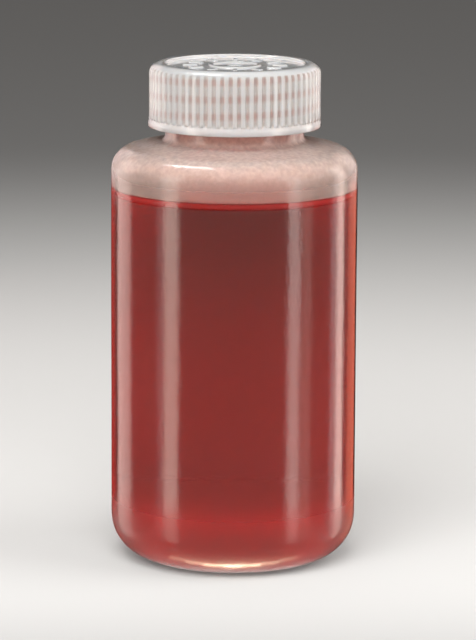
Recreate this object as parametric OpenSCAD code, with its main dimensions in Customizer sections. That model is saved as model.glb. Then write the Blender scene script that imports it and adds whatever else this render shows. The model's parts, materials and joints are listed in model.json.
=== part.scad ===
// Wide-mouth reagent bottle, 250 mL, with its ribbed screw cap, sealing liner and contents.
// Millimetres. +Z is up the bottle's axis, and the origin is the middle of the base's standing plane.
// The cap is modelled screwed home. It comes off along the right-hand helix of the thread.

/* [Body] */
// Outside diameter of the body
body_d = 61.8; // [56:0.1:70]
// Height of the straight wall's top, where the shoulder begins
wall_top = 98.9; // [80:0.1:120]
// Radius of the rounded edge between the wall and the base
base_round = 10.6; // [6:0.1:14]
// Radius of the rounded edge between the wall and the shoulder
shoulder_round = 5.9; // [4:0.1:10]
// Slope of the shoulder between its rounded edge and the neck, in degrees
shoulder_slope = 11.8; // [5:0.1:20]
// Thickness of the moulded wall
wall = 1.5; // [1:0.1:2.2]
// Height of the middle of the base above the plane that the bottle stands on
push_up = 1.8; // [1:0.1:3]
// Radius of the pushed-up part of the base, inside the standing ring
push_up_r = 17.5; // [14:0.1:18]

/* [Neck] */
// Diameter of the neck at the root of its thread
neck_root_d = 34.8; // [34:0.1:36]
// Bore of the neck
neck_bore_d = 31.2; // [28:0.1:32]
// Height of the lip that the liner seals on
lip_z = 122.35; // [116:0.05:130]
// Rounding of the lip's outer edge
lip_round = 0.5; // [0.3:0.1:0.8]

/* [Screw thread] */
// Rise in one turn: 6 threads to the inch
pitch = 4.2333; // [4.2333:0.0001:4.2333]
// Height of a thread ridge above its root
thread_h = 1.2; // [1:0.05:1.3]
// Width of the neck's ridge at its root
neck_ridge_w = 2.4; // [2:0.1:2.6]
// Width of the cap's ridge at its root
cap_ridge_w = 2.1; // [1.8:0.1:2.3]
// Slope of the ridges' sides, in degrees from square to the axis
flank = 30; // [20:1:35]
// Turns of thread on the neck
neck_turns = 2.25; // [1.5:0.25:2.5]
// Turns of thread in the cap
cap_turns = 1.75; // [1:0.25:1.75]
// Radial gap between a ridge's crest and the root that it runs in
thread_gap = 0.35; // [0.3:0.05:0.45]
// Gap between the pressed sides of the two ridges, measured along the axis
side_gap = 0.35; // [0.3:0.05:0.6]

/* [Cap] */
// Diameter over the grip ribs
cap_d = 42.9; // [42:0.1:46]
// Height of the cap
cap_h = 15.9; // [13:0.1:18]
// Number of grip ribs
ribs = 64; // [48:1:80]
// Depth of the grooves between the ribs
rib_depth = 0.55; // [0.3:0.05:0.7]
// Share of the rib spacing that a rib's crest takes
rib_share = 0.42; // [0.3:0.01:0.5]
// Height of the plain band at the cap's open edge
band_h = 2.1; // [1.5:0.1:3]
// How far the band stands out past the ribs
band_out = 0.2; // [0.05:0.05:0.5]
// Radius of the cap's rounded top edge
cap_round = 2.6; // [1.5:0.1:3]
// Radius of the sunk disc inside the top's raised rim
recess_r = 17.4; // [15:0.1:18]
// Depth of the sunk disc
recess_h = 0.8; // [0.4:0.1:1]
// Thickness of the cap's top under the sunk disc
top_t = 1.6; // [1.2:0.1:1.6]
// Height of the raised ring and bars on the sunk disc
mark_h = 0.4; // [0.2:0.1:0.6]
// Number of raised bars around the ring
bars = 12; // [6:1:16]

/* [Liner] */
// Thickness of the sealing liner
liner_t = 1; // [0.8:0.1:1.5]
// Gap between the liner's edge and the inside of the cap
liner_gap = 0.45; // [0.3:0.05:0.6]

/* [Contents] */
// Height of the liquid's surface
fill_z = 94.8; // [60:0.1:96]

/* [Hidden] */

$fn = 96;
steps = 48;                                    // sections in one turn of a thread ridge
fade = 14;                                     // sections over which a ridge's end sinks into its wall
sunk = 0.3;                                    // how deep a ridge's foot sits in the wall it grows from
end_dip = 0.1;                                 // how far a ridge's crest is under the wall's face at its ends
bite = 0.2;                                    // how far the raised marks run into the disc under them
body_r = body_d / 2;
neck_root_r = neck_root_d / 2;
neck_bore_r = neck_bore_d / 2;
neck_crest_r = neck_root_r + thread_h;
cap_bore_r = neck_crest_r + thread_gap;
cap_crest_r = neck_root_r + thread_gap;
cap_r = cap_d / 2;
liner_top = lip_z + liner_t;
cap_top = liner_top + top_t + recess_h;
cap_z0 = cap_top - cap_h;
lip_land = 2;                                  // from the lip down to the middle of the thread's last ridge
neck_thread_top = lip_z - lip_land;
neck_thread_z0 = neck_thread_top - pitch * neck_turns;
neck_thread_a0 = 293;                          // angle about the axis at which the neck's thread starts
// The two ridges lie side by side: half of each one's width where they overlap, and the gap.
ridge_step = (neck_ridge_w + cap_ridge_w) / 2 - (thread_h + thread_gap) * tan(flank) + side_gap;
cap_thread_lead = 0.75;                        // turns by which the cap's thread starts above the neck's
cap_thread_z0 = neck_thread_z0 - ridge_step + pitch * cap_thread_lead;
cap_thread_a0 = neck_thread_a0 + 360 * cap_thread_lead;
side_share = 0.14;                             // share of the rib spacing that each sloping side of a rib takes

// Radius of the ball that the pushed-up base is a piece of
push_ball_r = (push_up_r * push_up_r + push_up * push_up) / (2 * push_up);

// Half section of the space inside the body's wall, or of the body itself when inset is 0
module body_section(inset) {
    r = body_r - inset;
    base_c = [body_r - base_round, base_round];
    top_c = [body_r - shoulder_round, wall_top];
    base_cr = base_round - inset;
    top_cr = shoulder_round - inset;
    lean = [sin(shoulder_slope), cos(shoulder_slope)];
    edge = top_c + top_cr * lean;
    neck_r = inset > 0 ? neck_bore_r : neck_root_r;
    neck_z = edge[1] + (edge[0] - neck_r) * tan(shoulder_slope);
    difference() {
        union() {
            translate([0, inset]) square([base_c[0], base_cr]);
            translate(base_c) quarter_disc(base_cr, -1);
            translate([0, base_round]) square([r, wall_top - base_round]);
            translate(top_c) quarter_disc(top_cr, 1);
            polygon([[0, wall_top], top_c, edge, [neck_r, neck_z], [0, neck_z]]);
        }
        translate([0, push_up - push_ball_r]) circle(push_ball_r + inset, $fn = 360);
    }
}

// Quarter of a disc about the origin, to the right of it and above it (side 1) or below it (side -1)
module quarter_disc(r, side) {
    intersection() {
        circle(r);
        translate([0, side > 0 ? 0 : -r]) square(r);
    }
}

// Points of one thread section: foot, crest, crest, foot, at height z and angle a
function section(foot_r, crest_r, foot_w, crest_w, z, a) = [
    [foot_r * cos(a), foot_r * sin(a), z - foot_w / 2],
    [crest_r * cos(a), crest_r * sin(a), z - crest_w / 2],
    [crest_r * cos(a), crest_r * sin(a), z + crest_w / 2],
    [foot_r * cos(a), foot_r * sin(a), z + foot_w / 2]
];

// Share of its full height that the ridge has at section i of n
function rise(i, n) = sin(90 * min(1, i / fade, (n - i) / fade));

// A helical ridge that stands out of the wall at root_r, outwards (side 1) or inwards (side -1)
module ridge(root_r, side, root_w, turns, z0, a0) {
    n = round(turns * steps);
    foot_r = root_r - side * sunk;
    foot_w = root_w + 2 * sunk * tan(flank);
    points = [for (i = [0 : n])
        let (h = thread_h * rise(i, n) - end_dip * (1 - rise(i, n)))
        each section(foot_r, root_r + side * h, foot_w, root_w - 2 * h * tan(flank),
            z0 + pitch * i / steps, a0 + 360 * i / steps)];
    sides = [for (i = [0 : n - 1], k = [0 : 3])
        let (a = 4 * i + k, b = 4 * i + (k + 1) % 4)
        each [[a, b, b + 4], [a, b + 4, a + 4]]];
    ends = [[2, 1, 0], [3, 2, 0], [4 * n, 4 * n + 1, 4 * n + 2], [4 * n, 4 * n + 2, 4 * n + 3]];
    faces = concat(sides, ends);
    polyhedron(points, side > 0 ? faces : [for (f = faces) [f[2], f[1], f[0]]]);
}

// Blow-moulded body, open at the neck, with the thread on the neck's outside
module bottle() color([0.9, 0.87, 0.84, 0.45]) {
    rotate_extrude() difference() {
        union() {
            body_section(0);
            translate([0, wall_top]) square([neck_root_r, lip_z - lip_round - wall_top]);
            translate([0, wall_top]) square([neck_root_r - lip_round, lip_z - wall_top]);
            translate([neck_root_r - lip_round, lip_z - lip_round]) quarter_disc(lip_round, 1);
        }
        body_section(wall);
        translate([0, wall_top]) square([neck_bore_r, lip_z]);
    }
    ridge(neck_root_r, 1, neck_ridge_w, neck_turns, neck_thread_z0, neck_thread_a0);
}

// The reagent, which fills the body up to its surface
module liquid() color([0.53, 0.2, 0.2, 0.95]) {
    rotate_extrude() intersection() {
        body_section(wall);
        square([body_r, fill_z]);
    }
}

// Soft disc in the cap's top that seals on the bottle's lip
module liner() color([0.95, 0.95, 0.93]) {
    translate([0, 0, lip_z]) cylinder(h = liner_t, r = cap_bore_r - liner_gap);
}

// Outline of the ribbed skirt, seen along the axis
module ribbed_outline() {
    step = 360 / ribs;
    crest = step * rib_share / 2;
    slope = step * side_share;
    groove_r = cap_r - rib_depth;
    polygon([for (i = [0 : ribs - 1], k = [-1, 1])
        let (a = i * step + k * crest, b = i * step + k * (crest + slope))
        each k < 0 ? [groove_r * [cos(b), sin(b)], cap_r * [cos(a), sin(a)]]
            : [cap_r * [cos(a), sin(a)], groove_r * [cos(b), sin(b)]]]);
}

// Half section of a plain turned cap with the rounded top edge
module cap_section() {
    flat_r = cap_r - cap_round;
    square([flat_r, cap_h]);
    square([cap_r, cap_h - cap_round]);
    translate([flat_r, cap_h - cap_round]) quarter_disc(cap_round, 1);
}

// Raised ring and radial bars on the sunk disc
module top_marks() {
    ring_r = 6.5;
    ring_w = 1;
    bar_l = 3.6;
    bar_w = 1.1;
    bar_r = 9.4;
    height = mark_h + bite;
    difference() {
        cylinder(h = height, r = ring_r);
        translate([0, 0, -1]) cylinder(h = height + 2, r = ring_r - ring_w);
    }
    for (i = [0 : bars - 1])
        rotate(i * 360 / bars) translate([bar_r, -bar_w / 2, 0]) cube([bar_l, bar_w, height]);
}

// Moulded screw cap: ribbed skirt, plain band at its open edge, raised rim and sunk disc on top
module cap() color([0.93, 0.91, 0.88, 0.6]) {
    translate([0, 0, cap_z0]) difference() {
        union() {
            intersection() {
                translate([0, 0, band_h / 2]) linear_extrude(cap_h) ribbed_outline();
                rotate_extrude() cap_section();
            }
            cylinder(h = band_h, r = cap_r + band_out);
        }
        translate([0, 0, -1]) cylinder(h = liner_top - cap_z0 + 1, r = cap_bore_r);
        translate([0, 0, cap_h - recess_h]) cylinder(h = recess_h + 1, r = recess_r);
    }
    translate([0, 0, cap_top - recess_h - bite]) top_marks();
    ridge(cap_bore_r, -1, cap_ridge_w, cap_turns, cap_thread_z0, cap_thread_a0);
}

bottle();
liquid();
liner();
cap();
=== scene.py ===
# %% [markdown]
# # A wide-mouth reagent bottle in natural plastic
# The object is a laboratory bottle of about 250 mL: a blow-moulded body, a ribbed screw cap with a soft liner in it,
# and a clear red solution. Everything but the thread and the grip ribs is turned about one axis, so almost every
# piece can be written as a radius and a height that depend on two numbers: how far along the outline, and the
# angle about the axis. This first cell loads the working model, which fixes where everything goes.

# %% Load the fixed frame
import json
import math

import bpy
import numpy as np
from mathutils import Matrix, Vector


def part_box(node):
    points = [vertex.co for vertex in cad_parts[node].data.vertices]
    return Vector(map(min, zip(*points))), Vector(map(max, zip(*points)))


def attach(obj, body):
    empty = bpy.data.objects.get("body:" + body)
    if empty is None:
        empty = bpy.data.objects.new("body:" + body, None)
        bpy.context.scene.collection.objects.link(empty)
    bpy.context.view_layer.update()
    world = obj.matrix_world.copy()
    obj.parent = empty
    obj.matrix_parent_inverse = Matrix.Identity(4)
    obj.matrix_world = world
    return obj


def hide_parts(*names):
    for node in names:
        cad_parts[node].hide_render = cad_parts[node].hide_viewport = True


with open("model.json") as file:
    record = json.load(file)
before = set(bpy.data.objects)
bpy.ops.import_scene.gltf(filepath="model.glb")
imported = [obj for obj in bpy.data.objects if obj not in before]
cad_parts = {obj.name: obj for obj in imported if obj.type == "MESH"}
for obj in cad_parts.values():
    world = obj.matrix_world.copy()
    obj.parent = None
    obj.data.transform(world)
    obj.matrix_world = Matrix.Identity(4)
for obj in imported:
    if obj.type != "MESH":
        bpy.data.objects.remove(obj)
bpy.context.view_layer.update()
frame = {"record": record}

MM = 0.001

# %% [markdown]
# ## Sizes
# The frame gives the sizes that matter for fit: the box of each node, and the straight wall of the body from its
# mount. The rest are the bottle maker's own numbers, such as corner radii and wall thickness, in millimetres.

# %% Read the driving sizes
mounts = {m["name"]: m for m in frame["record"]["mounts"]}
wall_mount = mounts["body_wall"]
body_r = wall_mount["dims"]["r_mm"]
base_round = 10.6  # radius of the round corner at the foot
wall_top = base_round + wall_mount["dims"]["length_mm"]
lip_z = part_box("bottle")[1].z / MM
fill_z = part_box("liquid")[1].z / MM
liner_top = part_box("liner")[1].z / MM
liner_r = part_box("liner")[1].x / MM
cap_z0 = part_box("cap")[0].z / MM
cap_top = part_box("cap")[1].z / MM
cap_band_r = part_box("cap")[1].x / MM
print("body radius", body_r, "wall top", round(wall_top, 2), "lip", round(lip_z, 2), "fill", round(fill_z, 2))
print("cap from", round(cap_z0, 2), "to", round(cap_top, 2), "radius", round(cap_band_r, 2))

# %% [markdown]
# ## Outlines
# An outline is a chain of straight runs and arcs in the plane of radius and height. Each helper gives an array of
# (radius, height) points, and `chain` joins them and drops the points that two runs share.

# %% Helpers for outlines
same_point = 1e-4  # two points nearer to each other than this are one, in mm


def run(start, end, count):
    """Evenly spaced points on the straight line from start to end."""
    t = np.linspace(0, 1, count)[:, None]
    return np.array(start, float) * (1 - t) + np.array(end, float) * t


def arc(centre, radius, first, last, count):
    """Points centre + radius * (cos a, sin a), with a going evenly from first to last, in degrees."""
    a = np.radians(np.linspace(first, last, count))
    return np.array(centre, float) + radius * np.column_stack([np.cos(a), np.sin(a)])


def chain(*runs):
    """The runs end to end, without the doubled points where they meet."""
    points = np.vstack(runs)
    step = np.linalg.norm(np.diff(points, axis=0), axis=1)
    return points[np.r_[True, step > same_point]]


def smooth_step(x, low, high):
    """0 below low, 1 above high, and 3 t^2 - 2 t^3 between them."""
    t = np.clip((x - low) / (high - low), 0, 1)
    return t * t * (3 - 2 * t)


# %% [markdown]
# ## Turned surfaces
# A lathe makes a part from one outline. Here each point of the outline may also change with the angle, which is
# how a rib, a thread ridge or a mould line is part of the same skin instead of a separate piece stuck on. The first
# and last points of the outline lie on the axis, so each closes into a single pole, and the skin has no open edge.

# %% Helper that turns a surface into a closed mesh
def turned(name, radius, height, angle):
    """Closed mesh of the points (radius cos angle, radius sin angle, height), given as arrays with one row for each
    point of the outline and one column for each angle. The outline runs so that its left side faces the axis:
    up the outside and back down the inside."""
    rows, columns = radius.shape
    x, y = radius * np.cos(angle), radius * np.sin(angle)
    ring = np.stack([x, y, height], axis=2)[1:-1].reshape(-1, 3)
    poles = np.array([[0, 0, height[0, 0]], [0, 0, height[-1, 0]]])
    points = np.vstack([ring, poles]) * MM
    here = np.arange((rows - 2) * columns).reshape(rows - 2, columns)
    beside = np.roll(here, -1, axis=1)
    quads = np.stack([here[:-1], beside[:-1], beside[1:], here[1:]], axis=2).reshape(-1, 4)
    first_pole, last_pole = len(points) - 2, len(points) - 1
    first_fan = np.column_stack([np.full(columns, first_pole), beside[0], here[0]])
    last_fan = np.column_stack([np.full(columns, last_pole), here[-1], beside[-1]])
    mesh = bpy.data.meshes.new(name)
    mesh.from_pydata(points, [], quads.tolist() + first_fan.tolist() + last_fan.tolist())
    mesh.polygons.foreach_set("use_smooth", np.ones(len(mesh.polygons), bool))
    mesh.update()
    piece = bpy.data.objects.new(name, mesh)
    bpy.context.scene.collection.objects.link(piece)
    mesh.calc_loop_triangles()
    print(name, "has", len(mesh.vertices), "points and", len(mesh.loop_triangles), "triangles")
    return piece


# %% [markdown]
# A finish often changes with a number that only the shape knows, such as where the wall is wet or thin. A painted
# texture is one way to hand it over; a number stored at each point of the mesh is simpler and needs no flattening.

# %% Helper that hands a number to a material
def carry(piece, name, values):
    """Store an array with one number for each point of the turned surface, for the material to read."""
    field = piece.data.attributes.new(name, "FLOAT", "POINT")
    field.data.foreach_set("value", np.r_[values[1:-1].ravel(), values[0, 0], values[-1, 0]])
    print(piece.name, name, "is above a half at", int((values > 0.5).sum()), "points")


# %% [markdown]
# ## The screw thread
# The neck and the cap carry the two halves of one right-hand thread with 6 turns to the inch. A thread ridge could
# be swept as its own piece, but two closed skins that overlap refract light wrongly where they cross. So the ridge
# is a bulge of the wall itself: at each angle and height, the distance to the helix gives how far the wall moves.

# %% Thread ridge as a height field on the wall
pitch = 25.4 / 6
thread_h = 1.2
thread_gap = 0.35
flank = math.tan(math.radians(30))
fade_turns = 0.3
neck_foot_w, neck_turns, neck_start = 2.4, 2.25, 293
lip_to_thread = 2.0
cap_foot_w, cap_turns, cap_lead = 2.1, 1.75, 0.75
ridge_step = (neck_foot_w + cap_foot_w) / 2 - (thread_h + thread_gap) * flank + thread_gap
neck_thread_z = lip_z - lip_to_thread - neck_turns * pitch
cap_thread_z = neck_thread_z - ridge_step + cap_lead * pitch
print("neck thread starts at", round(neck_thread_z, 2), "mm and the cap's at", round(cap_thread_z, 2), "mm")


def ridge(angle, height, foot_w, turns, start_z, start_angle):
    """How far the ridge stands out of the wall: a trapezium across, foot_w wide at its foot with sides that lean
    30 degrees, along the line where height = start_z + pitch * turns, and sinking into the wall at both ends."""
    lead = (angle - math.radians(start_angle)) / (2 * math.pi)
    nearest = np.round((height - start_z) / pitch - lead)
    along = lead + nearest
    across = height - start_z - pitch * along
    inside = np.clip(np.minimum(along, turns - along) / fade_turns, 0, 1)
    tall = thread_h * np.sin(inside * math.pi / 2)
    rise = (foot_w / 2 - np.abs(across)) / flank
    return np.clip(rise, 0, tall)


# %% [markdown]
# ## The bottle
# The body is blown from a hot tube of plastic inside a two-part mould with a separate base insert. That gives it
# large soft radii, a pushed-up base inside a standing ring, a faint line down each side where the halves of the
# mould meet, a fainter ring where the base insert begins, and a wall that is never perfectly flat.
# The skin goes up the outside, over the lip and down the inside, so that the wall has its real thickness.

# %% Outline of the bottle
wall = 1.5
shoulder_round = 5.9
shoulder_slope = math.radians(11.8)
neck_root_r = 17.4
neck_bore_r = 15.6
neck_fillet = 1.4
lip_round = 0.5
push_up = 1.8
push_r = 17.5


def shoulder_line(inset, neck_r):
    """Where the shoulder's rounded edge ends, and where its slope would meet a neck of that radius."""
    edge_r = body_r - shoulder_round + (shoulder_round - inset) * math.sin(shoulder_slope)
    edge_z = wall_top + (shoulder_round - inset) * math.cos(shoulder_slope)
    return (edge_r, edge_z), (neck_r, edge_z + (edge_r - neck_r) * math.tan(shoulder_slope))


def dome(depth, reach, count):
    """The pushed-up base from the axis outwards: a shallow ball segment of that depth over that reach."""
    ball = (reach * reach + depth * depth) / (2 * depth)
    r = np.linspace(0, reach, count)
    return np.column_stack([r, depth - ball + np.sqrt(ball * ball - r * r)])


def body_side(inset, neck_r, fillet):
    """Half of the bottle's outline: from the base's middle to the neck, moved inwards by inset."""
    corner = (body_r - base_round, base_round)
    edge, meet = shoulder_line(inset, neck_r)
    turn = 90 - math.degrees(shoulder_slope)
    reach = fillet * math.tan(math.radians(turn) / 2)
    slope = np.array([math.cos(shoulder_slope), -math.sin(shoulder_slope)])
    fillet_start = np.array(meet) + slope * reach
    fillet_centre = (neck_r + fillet, meet[1] + reach)
    return chain(
        dome(push_up, push_r, 14) + (0, inset),
        arc(corner, base_round - inset, -90, 0, 26),
        run((body_r - inset, base_round), (body_r - inset, wall_top), 34),
        arc((body_r - shoulder_round, wall_top), shoulder_round - inset, 0, turn, 16),
        run(edge, fillet_start, 12),
        arc(fillet_centre, fillet, -90 - math.degrees(shoulder_slope), -180, 8),
    )


outside = body_side(0, neck_root_r, neck_fillet)
inside = body_side(wall, neck_bore_r, neck_fillet + wall)
neck_foot = outside[-1, 1]
outline = chain(
    outside,
    run((neck_root_r, neck_foot), (neck_root_r, lip_z - lip_round), 84),
    arc((neck_root_r - lip_round, lip_z - lip_round), lip_round, 0, 90, 6),
    arc((neck_bore_r + lip_round, lip_z - lip_round), lip_round, 90, 180, 6),
    run((neck_bore_r, lip_z - lip_round), inside[-1], 10),
    inside[::-1],
)
print("bottle outline:", len(outline), "points, shoulder meets the neck at", round(neck_foot, 2), "mm")

# %% [markdown]
# ## What the mould leaves on the bottle
# A bottle made as a perfect cylinder looks like a drawing. The blown wall strays a little from round, and bends the
# long highlights. The halves of the mould leave a fine line down each side, and the base insert leaves a ring. All
# are far under a millimetre, so they are added to the radius as smooth functions of angle and height.

# %% Small departures from a true cylinder
# Each wave: its size in mm, waves in one round, radians of twist for each mm of height, and where it starts.
waves = ((0.022, 2, 0.0, 0.7), (0.016, 3, -0.05, 0.0), (0.012, 5, 0.11, 1.9))
waver_starts, waver_full = 2, 14
waver_fades, waver_gone = wall_top - 2, wall_top + 6
seam_h, seam_w = 0.05, 0.3
insert_h, insert_w, insert_up = 0.025, 0.35, 0.5


def wall_waver(angle, height):
    """How far the blown wall strays from round: the sum of size * cos(count * angle + twist * height + start)."""
    return sum(size * np.cos(count * angle + twist * height + start) for size, count, twist, start in waves)


def side_share(height):
    """1 on the tall side wall, 0 on the base and the neck."""
    return smooth_step(height, waver_starts, waver_full) * (1 - smooth_step(height, waver_fades, waver_gone))


def mould_lines(angle, height):
    """Height of the parting line and of the base insert's ring: exp(-(distance / width)^2) for each."""
    seam = np.exp(-((np.sin(angle) * body_r / seam_w) ** 2))
    ring = np.exp(-(((height - base_round - insert_up) / insert_w) ** 2))
    return seam_h * seam + insert_h * ring


print("the wall strays by at most", round(sum(size for size, *_ in waves), 3), "mm")

# %% [markdown]
# ## Turning the bottle
# One grid of 224 angles by the points of the outline carries everything: the round wall, its waver, the mould's
# lines on the outside only, and the thread on the neck. The inside below the liquid's surface is marked "wet",
# because the finish changes there.

# %% Build the bottle
bottle_angles = 224
shoulder_only = neck_root_r + 1  # no mould lines on the neck, where the thread is

angle = np.linspace(0, 2 * math.pi, bottle_angles, endpoint=False)[None, :]
radius = outline[:, :1] + 0 * angle
height = outline[:, 1:] + 0 * angle
is_outer = (np.arange(len(outline)) < np.argmax(outline[:, 1]))[:, None]
on_neck = is_outer & (height > neck_foot)
radius += wall_waver(angle, height) * side_share(height)
radius += is_outer * mould_lines(angle, height) * (radius > shoulder_only)
radius += on_neck * ridge(angle, height, neck_foot_w, neck_turns, neck_thread_z, neck_start)
bottle = turned("bottle_shell", radius, height, angle)
carry(bottle, "wet", (~is_outer & (height < fill_z)).astype(float))

# %% [markdown]
# ## The reagent
# The liquid fills the body up to its surface and clings a little way up the wall. It could be made as the exact
# inside of the bottle, but two skins in the same place flicker, and a gap of air between them would mirror light
# that really passes straight through. So the liquid's skin runs a twentieth of a millimetre inside the plastic:
# light then bends into the red right at the wall, as it does where water wets a bottle. The surface is flat, and
# rises towards the wall as exp(-distance / reach), which is the curve of a real meniscus.

# %% Build the liquid
bite = 0.05
climb = 0.4
creep_reach = 1.0
top_run = 2.4  # the last stretch below the surface has closer rows
near_wall, far_in = 9, 12  # the surface has close rings for the first of these mm, wide ones from the second on

wet_r = body_r - wall + bite
wet_side = body_side(wall - bite, neck_bore_r, neck_fillet + wall)
wet_side = wet_side[wet_side[:, 1] < fill_z - top_run - 0.1]
surface_r = np.r_[wet_r - np.geomspace(0.02, near_wall, 24), np.linspace(wet_r - far_in, 0, 8)]
surface_z = fill_z - climb + climb * np.exp(-(wet_r - surface_r) / creep_reach)
liquid_outline = np.vstack([
    wet_side,
    run((wet_r, fill_z - top_run), (wet_r, fill_z), 10),
    np.column_stack([surface_r, surface_z]),
])
liquid_r, liquid_z = liquid_outline[:, :1], liquid_outline[:, 1:]
# The liquid follows the wall's waver at the wall, and less and less over the next few millimetres inwards.
hug = smooth_step(liquid_r, wet_r - 8, wet_r - 0.5)
radius = liquid_r + wall_waver(angle, liquid_z) * side_share(liquid_z) * hug
liquid = turned("red_solution", radius, liquid_z + 0 * angle, angle)

# %% [markdown]
# ## The liner
# A soft disc of foamed plastic lies in the top of the cap and is pressed on the lip. It could be a plain disc, but
# the lip sinks into it and leaves a shallow ring, which is what one sees when the cap is off. So its underside is a
# curve of the radius: it touches the lip, and bulges a tenth of a millimetre below it on both sides.

# %% Build the liner
liner_round = 0.2
lip_dent = 0.12
dent_inner, dent_outer = (1.4, 0.7), (0.7, 1.1)  # where the dent's two slopes begin and end, from the lip's middle
liner_lip_r = (neck_root_r + neck_bore_r) / 2


def dent(r):
    """Depth of the ring that the lip presses into the liner, at radius r."""
    rise = smooth_step(r, liner_lip_r - dent_inner[0], liner_lip_r - dent_inner[1])
    return lip_dent * rise * (1 - smooth_step(r, liner_lip_r + dent_outer[0], liner_lip_r + dent_outer[1]))


under_r = np.linspace(0, liner_r - liner_round, 60)
liner_foot = lip_z - lip_dent
under = np.column_stack([under_r, liner_foot + dent(under_r)])
liner_outline = chain(
    under,
    arc((liner_r - liner_round, liner_foot + liner_round), liner_round, -90, 0, 5),
    arc((liner_r - liner_round, liner_top - liner_round), liner_round, 0, 90, 5),
    run((liner_r - liner_round, liner_top), (0, liner_top), 8),
)
liner_angles = 128
liner_angle = np.linspace(0, 2 * math.pi, liner_angles, endpoint=False)[None, :]
radius, height = (liner_outline[:, k : k + 1] + 0 * liner_angle for k in (0, 1))
liner = turned("liner_disc", radius, height, liner_angle)

# %% [markdown]
# ## The cap
# The cap is injection moulded. Sixty-four ribs give fingers a grip, and stop above a plain band at the open edge.
# The top has a raised rim round a sunk disc, with a raised ring and bars in place of lettering, and the small
# dimple where the plastic was injected. Its outline runs from the top of the bore down to the open edge, up the
# outside and over the top to the middle, so that the whole cap is one closed skin with its real wall.

# %% Outline of the cap
cap_rib_r = cap_band_r - 0.2
rib_depth = 0.55
ribs = 64
band_h = 2.1
cap_round = 2.6
recess_r = 17.4
recess_h = 0.8
recess_fillet = 0.3
rim_round = 0.25
cap_bore_r = neck_root_r + thread_h + 0.35
mouth_chamfer = 0.5
bore_round, foot_round, band_round = 0.3, 0.3, 0.25
marks_r = 13.5  # the raised marks lie inside this radius
disc_z = cap_top - recess_h
rim_edge = recess_r + rim_round
ring_in, ring_out = 5.5, 6.5
bar_in, bar_out = 9.4, 13.0
step_edge = np.array([0.2, 0.1, 0.0, -0.1, -0.2])
mark_radii = np.r_[
    bar_out + step_edge, 11.9, 10.5, bar_in + step_edge, 8.0, ring_out + step_edge, ring_in + step_edge,
    4.0, 2.2, 1.9, 1.7, 1.5, 0.9, 0.6, 0.3, 0,
]

cap_outline = chain(
    run((0, liner_top), (cap_bore_r - bore_round, liner_top), 6),
    arc((cap_bore_r - bore_round, liner_top - bore_round), bore_round, 90, 0, 4),
    run((cap_bore_r, liner_top - bore_round), (cap_bore_r, cap_z0 + mouth_chamfer), 44),
    run((cap_bore_r, cap_z0 + mouth_chamfer), (cap_bore_r + mouth_chamfer, cap_z0), 3),
    run((cap_bore_r + mouth_chamfer, cap_z0), (cap_band_r - foot_round, cap_z0), 3),
    arc((cap_band_r - foot_round, cap_z0 + foot_round), foot_round, -90, 0, 5),
    run((cap_band_r, cap_z0 + foot_round), (cap_band_r, cap_z0 + band_h - band_round), 4),
    arc((cap_band_r - band_round, cap_z0 + band_h - band_round), band_round, 0, 90, 5),
    run((cap_rib_r, cap_z0 + band_h), (cap_rib_r, cap_top - cap_round), 22),
    arc((cap_rib_r - cap_round, cap_top - cap_round), cap_round, 0, 90, 16),
    run((cap_rib_r - cap_round, cap_top), (rim_edge, cap_top), 3),
    arc((rim_edge, cap_top - rim_round), rim_round, 90, 180, 5),
    arc((recess_r - recess_fillet, disc_z + recess_fillet), recess_fillet, 0, -90, 5),
    run((recess_r - recess_fillet, disc_z), (marks_r, disc_z), 5),
    np.column_stack([mark_radii, np.full(len(mark_radii), disc_z)]),
)
print("cap outline:", len(cap_outline), "points")

# %% [markdown]
# ## The grip ribs
# Each rib is a crest and two flanks. Sixty-four copies of one rib could be joined to the cap, but the seams between
# them would catch the light. Here the outer radius is pulled in by a groove between crests, and the pull fades to
# nothing at the plain band. Ten angles to a rib, set where its outline bends, draw it crisply with few points.

# %% Angles and grooves of the cap
rib_phases = np.array([0, 0.12, 0.21, 0.27, 0.33, 0.5, 0.67, 0.73, 0.79, 0.88])
crest_half, rib_foot = 0.19, 0.35
band_top = cap_z0 + band_h
skirt_z = band_top - 0.3  # the ribbed skirt begins just inside the band's rounded edge
groove_starts, groove_full = band_top - 0.35, band_top + 0.45

cap_angle = (np.arange(ribs)[:, None] + rib_phases[None, :]).ravel() * (2 * math.pi / ribs)
cap_angle = cap_angle[None, :]
radius = cap_outline[:, :1] + 0 * cap_angle
height = cap_outline[:, 1:] + 0 * cap_angle
row = np.arange(len(cap_outline))[:, None]
lowest_row = np.argmin(cap_outline[:, 1])
is_skin = row > lowest_row
from_crest = np.abs((cap_angle * ribs / (2 * math.pi) + 0.5) % 1 - 0.5)
groove = rib_depth * smooth_step(from_crest, crest_half, rib_foot)
band_share = smooth_step(height, groove_starts, groove_full)
ribbed = np.minimum(radius, cap_rib_r - groove * band_share)
radius = np.where(is_skin & (height > skirt_z), ribbed, radius)
print(ribs, "ribs,", cap_angle.size, "angles, grooves", round(groove.max(), 2), "mm deep")

# %% [markdown]
# ## The cap's thread and top
# The thread in the bore is the same ridge function as the neck's, taken off the radius instead of added. The raised
# marks on top are smooth steps of radius and angle: a ring, a circle of bars, and the gate's dimple with its nub.

# %% Build the cap
mark_h = 0.4
bars, bar_half = 12, (0.45, 0.65)
mark_edge = 0.15
dimple_h, dimple_r = 0.3, (1.5, 1.9)
nub_h, nub_r = 0.25, (0.4, 0.7)
on_line = 1e-6


def between(r, low, high):
    """1 from low to high, with a short slope at both ends."""
    rise = smooth_step(r, low - mark_edge, low + mark_edge)
    return rise * (1 - smooth_step(r, high - mark_edge, high + mark_edge))


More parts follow.
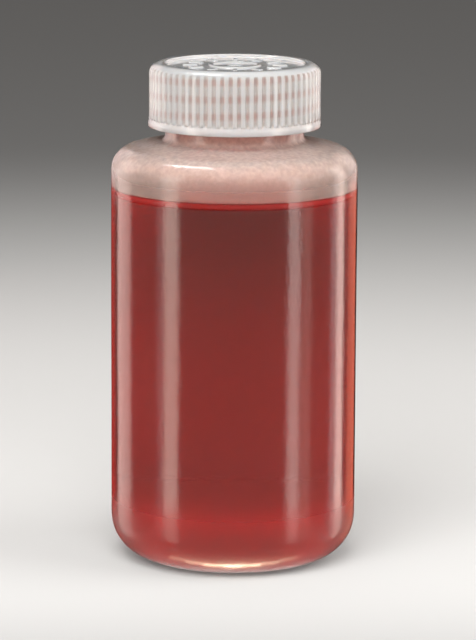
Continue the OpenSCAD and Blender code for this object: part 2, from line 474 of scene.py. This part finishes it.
def top_marks(r, a):
    """Height of the raised ring, the raised bars and the gate dimple over the sunk disc."""
    beside = np.abs((a * bars / (2 * math.pi) + 0.5) % 1 - 0.5) * (2 * math.pi / bars) * r
    bar = (1 - smooth_step(beside, *bar_half)) * between(r, bar_in, bar_out)
    dimple = 1 - smooth_step(r, *dimple_r)
    nub = 1 - smooth_step(r, *nub_r)
    return mark_h * np.maximum(between(r, ring_in, ring_out), bar) - dimple_h * dimple + nub_h * nub


in_bore = (row < lowest_row) & (np.abs(cap_outline[:, :1] - cap_bore_r) < on_line)
radius -= in_bore * ridge(cap_angle, height, cap_foot_w, cap_turns, cap_thread_z, neck_start + 360 * cap_lead)
on_disc = is_skin & (cap_outline[:, :1] < marks_r - 0.1) & (np.abs(cap_outline[:, 1:] - disc_z) < on_line)
height += on_disc * top_marks(radius, cap_angle)
cap = turned("ribbed_cap", radius, height, cap_angle)

# %% [markdown]
# ## What shows through the cap
# The cap is thin enough to show the thread behind it as soft warm rows. Real light gets there through four skins and
# back, which a renderer can only guess at with much noise. So the rows are painted on the outer skin instead, as
# painted shade warmed by the red inside, from two numbers worked out for each point: how thin the wall is, which is
# so in the grooves, and how near a turn of the neck's thread is behind.

# %% Numbers for the cap's finish
seen_through = 0.25  # how much of a row still shows where the wall is thick
below_rim = 1.2
extra_turns = 1  # the rows go on for a turn past both ends of the neck's thread, so that they fill the whole side

on_side = is_skin & (height > skirt_z) & (height < cap_top - below_rim)
thin = groove / rib_depth * band_share
rows_foot = neck_thread_z - extra_turns * pitch
rows = ridge(cap_angle, height, neck_foot_w, neck_turns + 2 * extra_turns, rows_foot, neck_start) / thread_h
carry(cap, "thin", on_side * thin)
carry(cap, "turns_behind", on_side * rows * (seen_through + (1 - seen_through) * thin))

# %% [markdown]
# ## Pieces on bodies
# The working model moves as three bodies: the filled bottle, the liner and the cap. A piece that rides on a body
# goes with it at every pose. Each piece here stands for one solid of the working model, which stays for collisions
# but isn't drawn.

# %% Put every piece on its body
for piece, solid, body, slot in (
    (bottle, "bottle", "body", "natural_plastic"),
    (liquid, "liquid", "body", "red_liquid"),
    (liner, "liner", "seal", "liner_foam"),
    (cap, "cap", "closure", "cap_plastic"),
):
    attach(piece, body)
    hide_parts(solid)
    print(piece.name, "stands for", solid, "and rides on", body)

# %% [markdown]
# ## Materials
# A material is a small net of nodes. Colours are picked as screen codes, but the renderer counts linear
# light, so `srgb` turns one into the other. Patterns come from noise worked out at each point of the piece's own
# space, so they need no image texture and never slide. `per_metre` turns the size of a pattern's spots, in
# millimetres, into the scale that a noise node wants.

# %% Helpers for colours and patterns
def srgb(code):
    """Linear colour of an sRGB hex code: c / 12.92 in the darkest part, ((c + 0.055) / 1.055) ^ 2.4 above it."""
    c = np.array([int(code[i : i + 2], 16) / 255 for i in (1, 3, 5)])
    linear = np.where(c <= 0.04045, c / 12.92, ((c + 0.055) / 1.055) ** 2.4)
    return (*linear.tolist(), 1.0)


def per_metre(spot):
    """Scale of a noise whose spots are that many millimetres across: one over the size in metres."""
    return 1 / (spot * MM)


# %% [markdown]
# Blender's own way to build a net is one call for each node, one for each value and one for each link. `node` takes
# them all at once, so that each line below reads as one node. `material` starts a new finish on a piece.

# %% Helpers for node trees
def node(tree, kind, **settings):
    """A new node of that kind. A setting with a socket's name is its value, or the output that feeds it; any other
    is one of the node's own properties."""
    new = tree.nodes.new("ShaderNode" + kind)
    for key, value in settings.items():
        sockets = [i for i in new.inputs if i.enabled and i.name == key.replace("_", " ")]
        if not sockets:
            setattr(new, key, value)
        elif isinstance(value, bpy.types.NodeSocket):
            tree.links.new(value, sockets[0])
        else:
            sockets[0].default_value = value
    return new


def material(piece, name):
    """A new material on that piece; gives its empty node tree."""
    made = bpy.data.materials.new(name)
    made.use_nodes = True
    made.node_tree.nodes.clear()
    piece.data.materials.append(made)
    return made.node_tree


# %% [markdown]
# ## Natural polypropylene, blow moulded
# The body is polypropylene without dye. Tiny crystals in it scatter light, so it is milky and faintly blotchy where
# air lies behind it, most of all at the thick shoulder. Where the solution wets it, the same wall looks clear,
# because the liquid carries the light on. A volume of scattering could do this, but it renders slowly and with
# noise. Here one shader goes from clear to milky with height, and the "wet" inside is always clear.

# %% How milky the wall is
milk_full = fill_z + 11  # the wall is thickest from here up, in mm

tree = material(bottle, "natural_polypropylene_blow_moulded")
place = node(tree, "TexCoord").outputs["Object"]
level = node(tree, "SeparateXYZ", Vector=place).outputs["Z"]
wet = node(tree, "Attribute", attribute_name="wet").outputs["Fac"]
dry = node(tree, "MapRange", Value=level, From_Min=(fill_z - 0.1) * MM, From_Max=(fill_z + 0.6) * MM)
# Blotches of uneven crystals, 1.2 mm across.
blotch = node(tree, "TexNoise", Vector=place, Scale=per_metre(1.2), Detail=2.0)
cloud = node(tree, "MapRange", Value=blotch.outputs["Fac"], From_Min=0.3, From_Max=0.7, To_Min=0.60, To_Max=0.70)
thick = node(
    tree, "MapRange", Value=level, interpolation_type="SMOOTHSTEP",
    From_Min=(fill_z + 1) * MM, From_Max=milk_full * MM, To_Min=0.90, To_Max=cloud.outputs["Result"],
)
milk = node(tree, "MapRange", Value=dry.outputs["Result"], To_Min=0.97, To_Max=thick.outputs["Result"])
print("wall is clear up to", round(fill_z - 0.1, 2), "mm and milky above", round(milk_full, 2), "mm")

# %% [markdown]
# At the surface the eye sees a bright red line of light all round. It is painted on the wall as a painted glow: a
# band two millimetres tall, strongest at its top, that is both milkier and redder than the wall.

# %% The red line at the surface
# How far below the surface the painted red line begins, is full, and fades again, in mm.
red_line_tall, red_line_full, red_line_crest = 2.0, 0.7, 0.35

red_line_top = node(
    tree, "MapRange", Value=level, interpolation_type="SMOOTHSTEP",
    From_Min=fill_z * MM, From_Max=(fill_z - red_line_crest) * MM,
)
painted_red_line = node(
    tree, "MapRange", Value=level, interpolation_type="SMOOTHSTEP",
    From_Min=(fill_z - red_line_tall) * MM, From_Max=(fill_z - red_line_full) * MM, To_Max=red_line_top.outputs["Result"],
)
cloudy = node(tree, "MapRange", Value=painted_red_line.outputs["Result"], To_Min=milk.outputs["Result"], To_Max=0.72)
clear = node(tree, "MapRange", Value=wet, To_Min=cloudy.outputs["Result"], To_Max=1.0)

# %% [markdown]
# The plastic itself has no colour. It looks a warm off-white, because it passes on some of the red light below it,
# and more so at the neck, where the wall is seen against itself. Lighting alone gives part of that, and a tint that
# changes with height gives the rest without more light paths.

# %% Colour of the plastic
# The bright red of the painted line of light at the surface.
red_line_colour = "#E05F5A"

neck = node(tree, "MapRange", Value=level, From_Min=(neck_foot - 1.5) * MM, From_Max=(neck_foot + 1) * MM)
plain = node(
    tree, "MapRange", data_type="FLOAT_VECTOR", Vector=neck.outputs["Result"],
    To_Min=srgb("#F1DBD2")[:3], To_Max=srgb("#EFC6BC")[:3],
)
tint = node(
    tree, "MapRange", data_type="FLOAT_VECTOR", Vector=painted_red_line.outputs["Result"], From_Max=(0.2, 0.2, 0.2),
    To_Min=plain.outputs["Vector"], To_Max=srgb(red_line_colour)[:3],
)
print("the stain is", [round(c, 3) for c in srgb(red_line_colour)[:3]], "in linear light")

# %% [markdown]
# Blowing presses the outside softly on a sand-blasted mould. That leaves a skin that is satin, wavy over some
# centimetres and finely grained, and gives long highlights soft edges. A clear coat on a duller base has just that
# look: a mirror image that is not sharp, over a veil of spread light. The round corner of the base stretches over
# the mould last and stays the dullest. The real grain is a few tenths of a millimetre, too fine to show, so it is
# drawn at three quarters of one.

# %% The bottle's skin
dull_starts, dull_full = 19, 9  # heights in mm between which the foot gets dull

foot = node(tree, "MapRange", Value=level, From_Min=dull_starts * MM, From_Max=dull_full * MM,
            To_Min=0.15, To_Max=0.48)
frost = node(tree, "MapRange", Value=dry.outputs["Result"], To_Min=foot.outputs["Result"], To_Max=0.26)
blur = node(tree, "MapRange", Value=wet, To_Min=frost.outputs["Result"], To_Max=0.05)
mirror = node(tree, "MapRange", Value=wet, To_Min=1.0, To_Max=0.0)
grain = node(tree, "TexNoise", Vector=place, Scale=per_metre(0.75), Detail=1.0)
sag = node(tree, "TexNoise", Vector=place, Scale=per_metre(16), Detail=2.0)
fine = node(tree, "Bump", Height=grain.outputs["Fac"], Strength=0.35, Distance=0.1 * MM)
both = node(tree, "Bump", Height=sag.outputs["Fac"], Strength=0.15, Distance=0.6 * MM, Normal=fine.outputs["Normal"])
skin = node(
    tree, "BsdfPrincipled", Base_Color=tint.outputs["Vector"], Roughness=blur.outputs["Result"], IOR=1.49,
    Specular_Tint=mirror.outputs["Result"], Transmission_Weight=clear.outputs["Result"],
    Subsurface_Weight=1.0, Subsurface_Scale=2 * MM,
    Coat_Weight=0.45, Coat_Roughness=0.11, Coat_IOR=1.49,
    Normal=both.outputs["Normal"], Coat_Normal=both.outputs["Normal"],
)
skin.inputs["Subsurface Radius"].default_value = (1.0, 0.9, 0.8)
node(tree, "OutputMaterial", Surface=skin.outputs["BSDF"])
print("the bottle's finish has", len(tree.nodes), "nodes")

# %% [markdown]
# ## Natural polypropylene, injection moulded
# The cap is the same plastic, pressed hard against polished steel. Its skin is smoother and brighter than the
# bottle's, and its wall is thin enough for light to pass: more so in the grooves. What shows through is painted: the
# grooves a touch pinker, and the thread behind as warm, darker rows of painted shade. Fingers dull it in patches some
# millimetres across.

# %% The cap's finish
tree = material(cap, "natural_polypropylene_injection_moulded")
place = node(tree, "TexCoord").outputs["Object"]
thin_wall = node(tree, "Attribute", attribute_name="thin").outputs["Fac"]
row_behind = node(tree, "Attribute", attribute_name="turns_behind").outputs["Fac"]
# Painted: the thin grooves a touch pinker, for the red inside seen through them.
paler = node(
    tree, "MapRange", data_type="FLOAT_VECTOR", Vector=thin_wall,
    To_Min=srgb("#FFF9F5")[:3], To_Max=srgb("#FDF3EF")[:3],
)
# Painted shade: warmer, darker rows where a turn of the neck's thread stands behind the wall.
warm = node(
    tree, "MapRange", data_type="FLOAT_VECTOR", Vector=row_behind,
    To_Min=paler.outputs["Vector"], To_Max=srgb("#E9D2CC")[:3],
)
see = node(tree, "MapRange", Value=thin_wall, To_Min=0.56, To_Max=0.64)
handled = node(tree, "TexNoise", Vector=place, Scale=per_metre(6), Detail=3.0)
worn = node(tree, "MapRange", Value=handled.outputs["Fac"], From_Min=0.45, From_Max=0.7, To_Min=0.07, To_Max=0.16)
grain = node(tree, "TexNoise", Vector=place, Scale=per_metre(0.7), Detail=3.0)
fine = node(tree, "Bump", Height=grain.outputs["Fac"], Strength=0.08, Distance=0.1 * MM)
skin = node(
    tree, "BsdfPrincipled", Base_Color=warm.outputs["Vector"], Roughness=worn.outputs["Result"], IOR=1.49,
    Transmission_Weight=see.outputs["Result"], Subsurface_Weight=1.0, Subsurface_Scale=2 * MM,
    Coat_Weight=0.6, Coat_Roughness=0.08, Coat_IOR=1.49, Normal=fine.outputs["Normal"],
)
skin.inputs["Subsurface Radius"].default_value = (1.0, 0.95, 0.9)
node(tree, "OutputMaterial", Surface=skin.outputs["BSDF"])
print("the cap's finish has", len(tree.nodes), "nodes")

# %% [markdown]
# ## Red dye in water
# The solution is clear, and its colour comes from depth alone: every millimetre takes away the same share of the
# green and blue, so the middle is deep and the edges are bright. A tinted skin would be equally red everywhere, so
# the red is a volume that absorbs. The skin lies just inside the plastic, where real light meets no mirror, so its
# own mirror image is turned off. Dye that drifts in the water bends light a very little, over some millimetres.

# %% The liquid's finish
kept = (0.862, 0.0, 0.035, 1.0)  # share of red, green and blue light that the dye leaves alone
dye_density = 110.0

tree = material(liquid, "red_dye_in_water")
place = node(tree, "TexCoord").outputs["Object"]
drift = node(tree, "TexNoise", Vector=place, Scale=per_metre(14), Detail=1.0)
swirl = node(tree, "Bump", Height=drift.outputs["Fac"], Strength=0.1, Distance=0.3 * MM)
skin = node(
    tree, "BsdfPrincipled", Base_Color=(1, 1, 1, 1), Roughness=0.0, IOR=1.33, Transmission_Weight=1.0,
    Specular_Tint=(0.0, 0.0, 0.0, 1.0), Normal=swirl.outputs["Normal"],
)
depth = node(tree, "VolumeAbsorption", Color=kept, Density=dye_density)
node(tree, "OutputMaterial", Surface=skin.outputs["BSDF"], Volume=depth.outputs["Volume"])
print("the liquid takes half of the red light in", round(math.log(2) / (dye_density * (1 - kept[0])) / MM, 1), "mm")

# %% [markdown]
# ## Foamed polyethylene
# The liner is a closed-cell foam: soft and matt. Its colour is painted a little warm, for the red light about it. Its
# cells are near a tenth of a millimetre, too fine to show, so they are drawn at four tenths. A Voronoi pattern has
# the right look, because foam cells are what grows evenly from scattered points: thin pale walls round hollows that
# are painted slightly darker, as painted shade.

# %% The liner's finish
tree = material(liner, "foamed_polyethylene")
place = node(tree, "TexCoord").outputs["Object"]
cells = node(tree, "TexVoronoi", Vector=place, Scale=per_metre(0.4))
fine = node(tree, "Bump", Height=cells.outputs["Distance"], Strength=0.3, Distance=0.1 * MM)
# Painted: pink for the red light about the liner, and darker in the middle of each cell as painted shade.
cell_shade = node(
    tree, "MapRange", data_type="FLOAT_VECTOR", Vector=cells.outputs["Distance"],
    To_Min=srgb("#D8BDB3")[:3], To_Max=srgb("#E9D6CE")[:3],
)
skin = node(
    tree, "BsdfPrincipled", Base_Color=cell_shade.outputs["Vector"], Roughness=0.7, IOR=1.5,
    Normal=fine.outputs["Normal"],
)
node(tree, "OutputMaterial", Surface=skin.outputs["BSDF"])
print("the liner's finish has", len(tree.nodes), "nodes")

# %% [markdown]
# ## The table
# The bottle stands on matt paper. What lies behind a clear bottle is seen through it, so the paper is pale round the
# base, and darker far away and towards the front, which also keeps the pale foot apart from it. The paper is left out
# of mirror images, so that the lamps alone make the highlights.

# %% The floor
half = 4.0  # metres from its middle to a side
corners = [(-half, -half, 0), (half, -half, 0), (half, half, 0), (-half, half, 0)]
mesh = bpy.data.meshes.new("floor")
mesh.from_pydata(corners, [], [(0, 1, 2, 3)])
floor = bpy.data.objects.new("floor", mesh)
bpy.context.scene.collection.objects.link(floor)
floor.visible_glossy = False
print("floor is", 2 * half, "m wide")

# %% [markdown]
# The paper could be lit unevenly to darken it far away and in front, but the same lamps also light the bottle. So the
# shade is in the paper: a smooth step of the distance from the axis, and another towards the front,
# and the larger of the two counts. A little glow round the base stands for light that a table gives back.

# %% The paper's finish
tree = material(floor, "pale_studio_paper")
place = node(tree, "TexCoord").outputs["Object"]
reach = node(tree, "VectorMath", operation="LENGTH")
tree.links.new(place, reach.inputs[0])
far = node(
    tree, "MapRange", Value=reach.outputs["Value"], interpolation_type="SMOOTHSTEP", From_Min=0.22, From_Max=0.75,
)
apart = node(tree, "SeparateXYZ", Vector=place)
front = node(
    tree, "MapRange", Value=apart.outputs["Y"], interpolation_type="SMOOTHSTEP", From_Min=-0.02, From_Max=-0.17,
)
away = node(tree, "Math", operation="MAXIMUM")
tree.links.new(far.outputs["Result"], away.inputs[0])
tree.links.new(front.outputs["Result"], away.inputs[1])
shade = node(
    tree, "MapRange", data_type="FLOAT_VECTOR", Vector=away.outputs["Value"],
    To_Min=srgb("#BDBCBA")[:3], To_Max=srgb("#7A7978")[:3],
)
glow = node(tree, "MapRange", Value=far.outputs["Result"], To_Min=0.10, To_Max=0.0)
skin = node(
    tree, "BsdfPrincipled", Base_Color=shade.outputs["Vector"], Roughness=0.9,
    Emission_Color=srgb("#FFFFFF"), Emission_Strength=glow.outputs["Result"],
)
node(tree, "OutputMaterial", Surface=skin.outputs["BSDF"])
print("the paper's finish has", len(tree.nodes), "nodes")

# %% [markdown]
# ## The room
# The room is a pale even light, a little brighter at the height of the table than overhead. It fills the shadows and
# shines through the plastic. It is left out of mirror images too, or it would lay a grey veil over the whole side.

# %% Light of the room
world = bpy.data.worlds.new("studio")
world.use_nodes = True
tree = world.node_tree
tree.nodes.clear()
look = node(tree, "TexCoord").outputs["Generated"]
rise = node(tree, "SeparateXYZ", Vector=look).outputs["Z"]
bright = node(
    tree, "MapRange", Value=rise, interpolation_type="SMOOTHSTEP",
    From_Min=0.0, From_Max=0.9, To_Min=0.75, To_Max=0.45,
)
sky = node(tree, "Background", Color=(1, 0.97, 0.94, 1), Strength=bright.outputs["Result"])
node(tree, "OutputWorld", Surface=sky.outputs["Background"])
world.cycles_visibility.glossy = False
bpy.context.scene.world = world
bpy.context.scene.view_settings.view_transform = "Standard"
print("the room's light has", len(tree.nodes), "nodes")

# %% [markdown]
# ## Lamps
# A glossy bottle is drawn by the mirror images of its lamps, a milky one by the light that falls on it, and a clear
# liquid by the light behind it. Three lots of lamps do these three jobs, and each lamp is seen only by the rays that
# it is for, so that one can be changed without the others. The camera itself sees none of them.

# %% Helpers that place a lamp
def around(azimuth, distance, up):
    """The point at that distance from the axis and that height, in millimetres. Azimuth is in degrees from the
    camera's side, positive to the camera's right: (distance sin azimuth, -distance cos azimuth, up)."""
    a = math.radians(azimuth)
    return distance * math.sin(a), -distance * math.cos(a), up


def lamp(name, middle, turn, sides, watts, colour="#FFFFFF", seen_by="gloss", shape="RECTANGLE"):
    """An area lamp with its middle there and its two sides that long, in millimetres, turned by three angles in
    degrees from facing straight down. seen_by is gloss for mirror images, glass for light that comes through the
    plastic and the liquid, or matt for light that a matt or milky skin spreads."""
    data = bpy.data.lights.new(name, "AREA")
    data.shape = shape
    data.size, data.size_y = sides[0] * MM, sides[1] * MM
    data.energy = watts
    data.color = srgb(colour)[:3]
    made = bpy.data.objects.new(name, data)
    made.location = [c * MM for c in middle]
    made.rotation_euler = [math.radians(c) for c in turn]
    made.visible_camera = False
    made.visible_diffuse = seen_by == "matt"
    made.visible_glossy = seen_by == "gloss"
    made.visible_transmission = seen_by == "glass"
    bpy.context.scene.collection.objects.link(made)


# %% [markdown]
# Four long highlights run down the side: a broad soft one on each side of the middle, and a narrow one near each
# edge. A highlight is the image of a tall box, and on a cylinder it stands at half the box's azimuth. A dim "tail"
# beside a box fades one edge of its image. Low red gels stand behind for the warm edges, since the liquid's glow
# is reddest there; above the fill line a pale box takes over, because there is no red to reflect.

# %% Upright boxes for the long highlights
# Each: name, azimuth in degrees, distance, width, foot and head in mm, watts, colour.
upright = (
    ("gel_left", -156, 420, 150, -200, 32, 0.057, "#FF5448"),
    ("pale_left", -150, 420, 240, 32, 330, 0.20, "#FFE4E0"),
    ("rim_left", -123, 420, 200, -200, 330, 0.63, "#FFE6DC"),
    ("soft_left", -59.4, 600, 158, -300, 420, 1.55, "#FFF0E2"),
    ("soft_left_tail", -71, 600, 60, -300, 420, 0.12, "#FFFFFF"),
    ("soft_right", 56.5, 600, 130, -300, 420, 1.05, "#FFF2EA"),
    ("soft_right_tail", 70, 600, 110, -300, 420, 0.27, "#FFE2D4"),
    ("edge_right", 115, 420, 85, -200, 330, 0.52, "#FFECE0"),
    ("edge_right_tail", 105, 420, 80, -200, 330, 0.13, "#FFFFFF"),
    ("gel_right", 144, 420, 190, -200, 32, 0.158, "#FF8468"),
    ("pale_right", 144, 420, 190, 32, 330, 0.20, "#FFE4DA"),
)
for name, azimuth, distance, width, low, high, watts, colour in upright:
    middle = around(azimuth, distance, (low + high) / 2)
    lamp(name, middle, (90, 0, azimuth), (width, high - low), watts, colour)
    print(name, "is imaged", round(body_r * math.sin(math.radians(azimuth / 2)), 1), "mm from the middle")

# %% [markdown]
# Two strips overhead draw the curved highlight on the shoulder and the glint on the cap's rim. Seven small cards
# lie on the table just under the front of the base and draw the bright crescent there, brightest in the middle.

# %% Strips overhead and cards at the foot
lamp("top_strip", (-270, 60, 700), (0, 20, -39), (460, 50), 1.9)
lamp("crown_strip", (0, 160, 750), (-13, 0, 0), (500, 100), 0.28, "#FFF2E8")

on_table = 0.2  # lamps in the table's top lie this far above it, in mm
card_watts = 0.00045
card_sides = (5.6, 1.6)
card_shares = ((-33, 0.25), (-22, 0.45), (-11, 1.0), (0, 1.6), (11, 1.0), (22, 0.45), (33, 0.25))
for card_turn, share in card_shares:
    out = 27.7 + 1.8 * (card_turn / 32) ** 2  # the cards stand a little further out towards the ends of the arc
    middle = around(card_turn, out, on_table)
    lamp("foot_card", middle, (180, 0, card_turn), card_sides, card_watts * share, "#FFE0BC")
print("brightest card gives", round(max(share for _, share in card_shares) * card_watts * 1000, 2), "mW")

# %% [markdown]
# Light from behind and below comes through the liquid and the cap, and makes them glow. It could come from the world
# alone, but then it would be as strong from in front, and the liquid would look flat.

# %% Lamps behind and below
lamp("back_cap", around(180, 600, 83), (90, 0, 180), (420, 114), 0.30, "#FFF4EE", seen_by="glass")
for name, azimuth in (("back_left", -143), ("back_right", 143)):
    lamp(name, around(azimuth, 600, 115), (90, 0, azimuth), (485, 430), 0.9, seen_by="glass")
lamp("under_base", (0, 0, on_table), (180, 0, 0), (74, 74), 0.019, seen_by="glass", shape="ELLIPSE")
lamp("behind_base", (0, 44, on_table), (180, 0, 0), (76, 24), 0.0058, seen_by="glass", shape="ELLIPSE")

# %% [markdown]
# Two large square boxes light what is matt or milky: the shoulder, the cap and the paper. The key stands high in
# front, a little to the left, and the weaker fill opens the shadow on the right.

# %% Key and fill
# Each: name, azimuth and rise in degrees, distance and side in mm, watts.
for name, azimuth, up, distance, side, watts in (("key", -15, 48, 700, 550, 7.0), ("fill", 80, 35, 700, 500, 3)):
    tilt = math.radians(up)
    middle = around(azimuth, distance * math.cos(tilt), distance * math.sin(tilt) + lip_z / 2)
    lamp(name, middle, (90 - up, 0, azimuth), (side, side), watts, seen_by="matt")
    print(name, "stands at", [round(c) for c in middle], "mm")

# %% [markdown]
# ## The camera
# A long lens from nine tenths of a metre keeps the sides of the bottle almost parallel. The camera looks down by
# eleven degrees, which opens the oval of the cap's top and shows the front of the base.

# %% Place the camera
camera_back, camera_up = 908.0, 235.2
pitch_down, yaw, roll = 10.904, -0.068, 0.3
lens, sensor = 205.678, 36

data = bpy.data.cameras.new("camera")
data.sensor_fit = "VERTICAL"
data.sensor_height = sensor
data.lens = lens
data.clip_start = 0.01
data.clip_end = 50
camera = bpy.data.objects.new("camera", data)
facing = (
    Matrix.Rotation(math.radians(yaw), 4, "Z")
    @ Matrix.Rotation(math.radians(90 - pitch_down), 4, "X")
    @ Matrix.Rotation(math.radians(roll), 4, "Z")
)
camera.matrix_world = Matrix.Translation((0, -camera_back * MM, camera_up * MM)) @ facing
bpy.context.scene.collection.objects.link(camera)
bpy.context.scene.camera = camera
print("camera looks down by", pitch_down, "degrees through a lens of", lens, "mm")
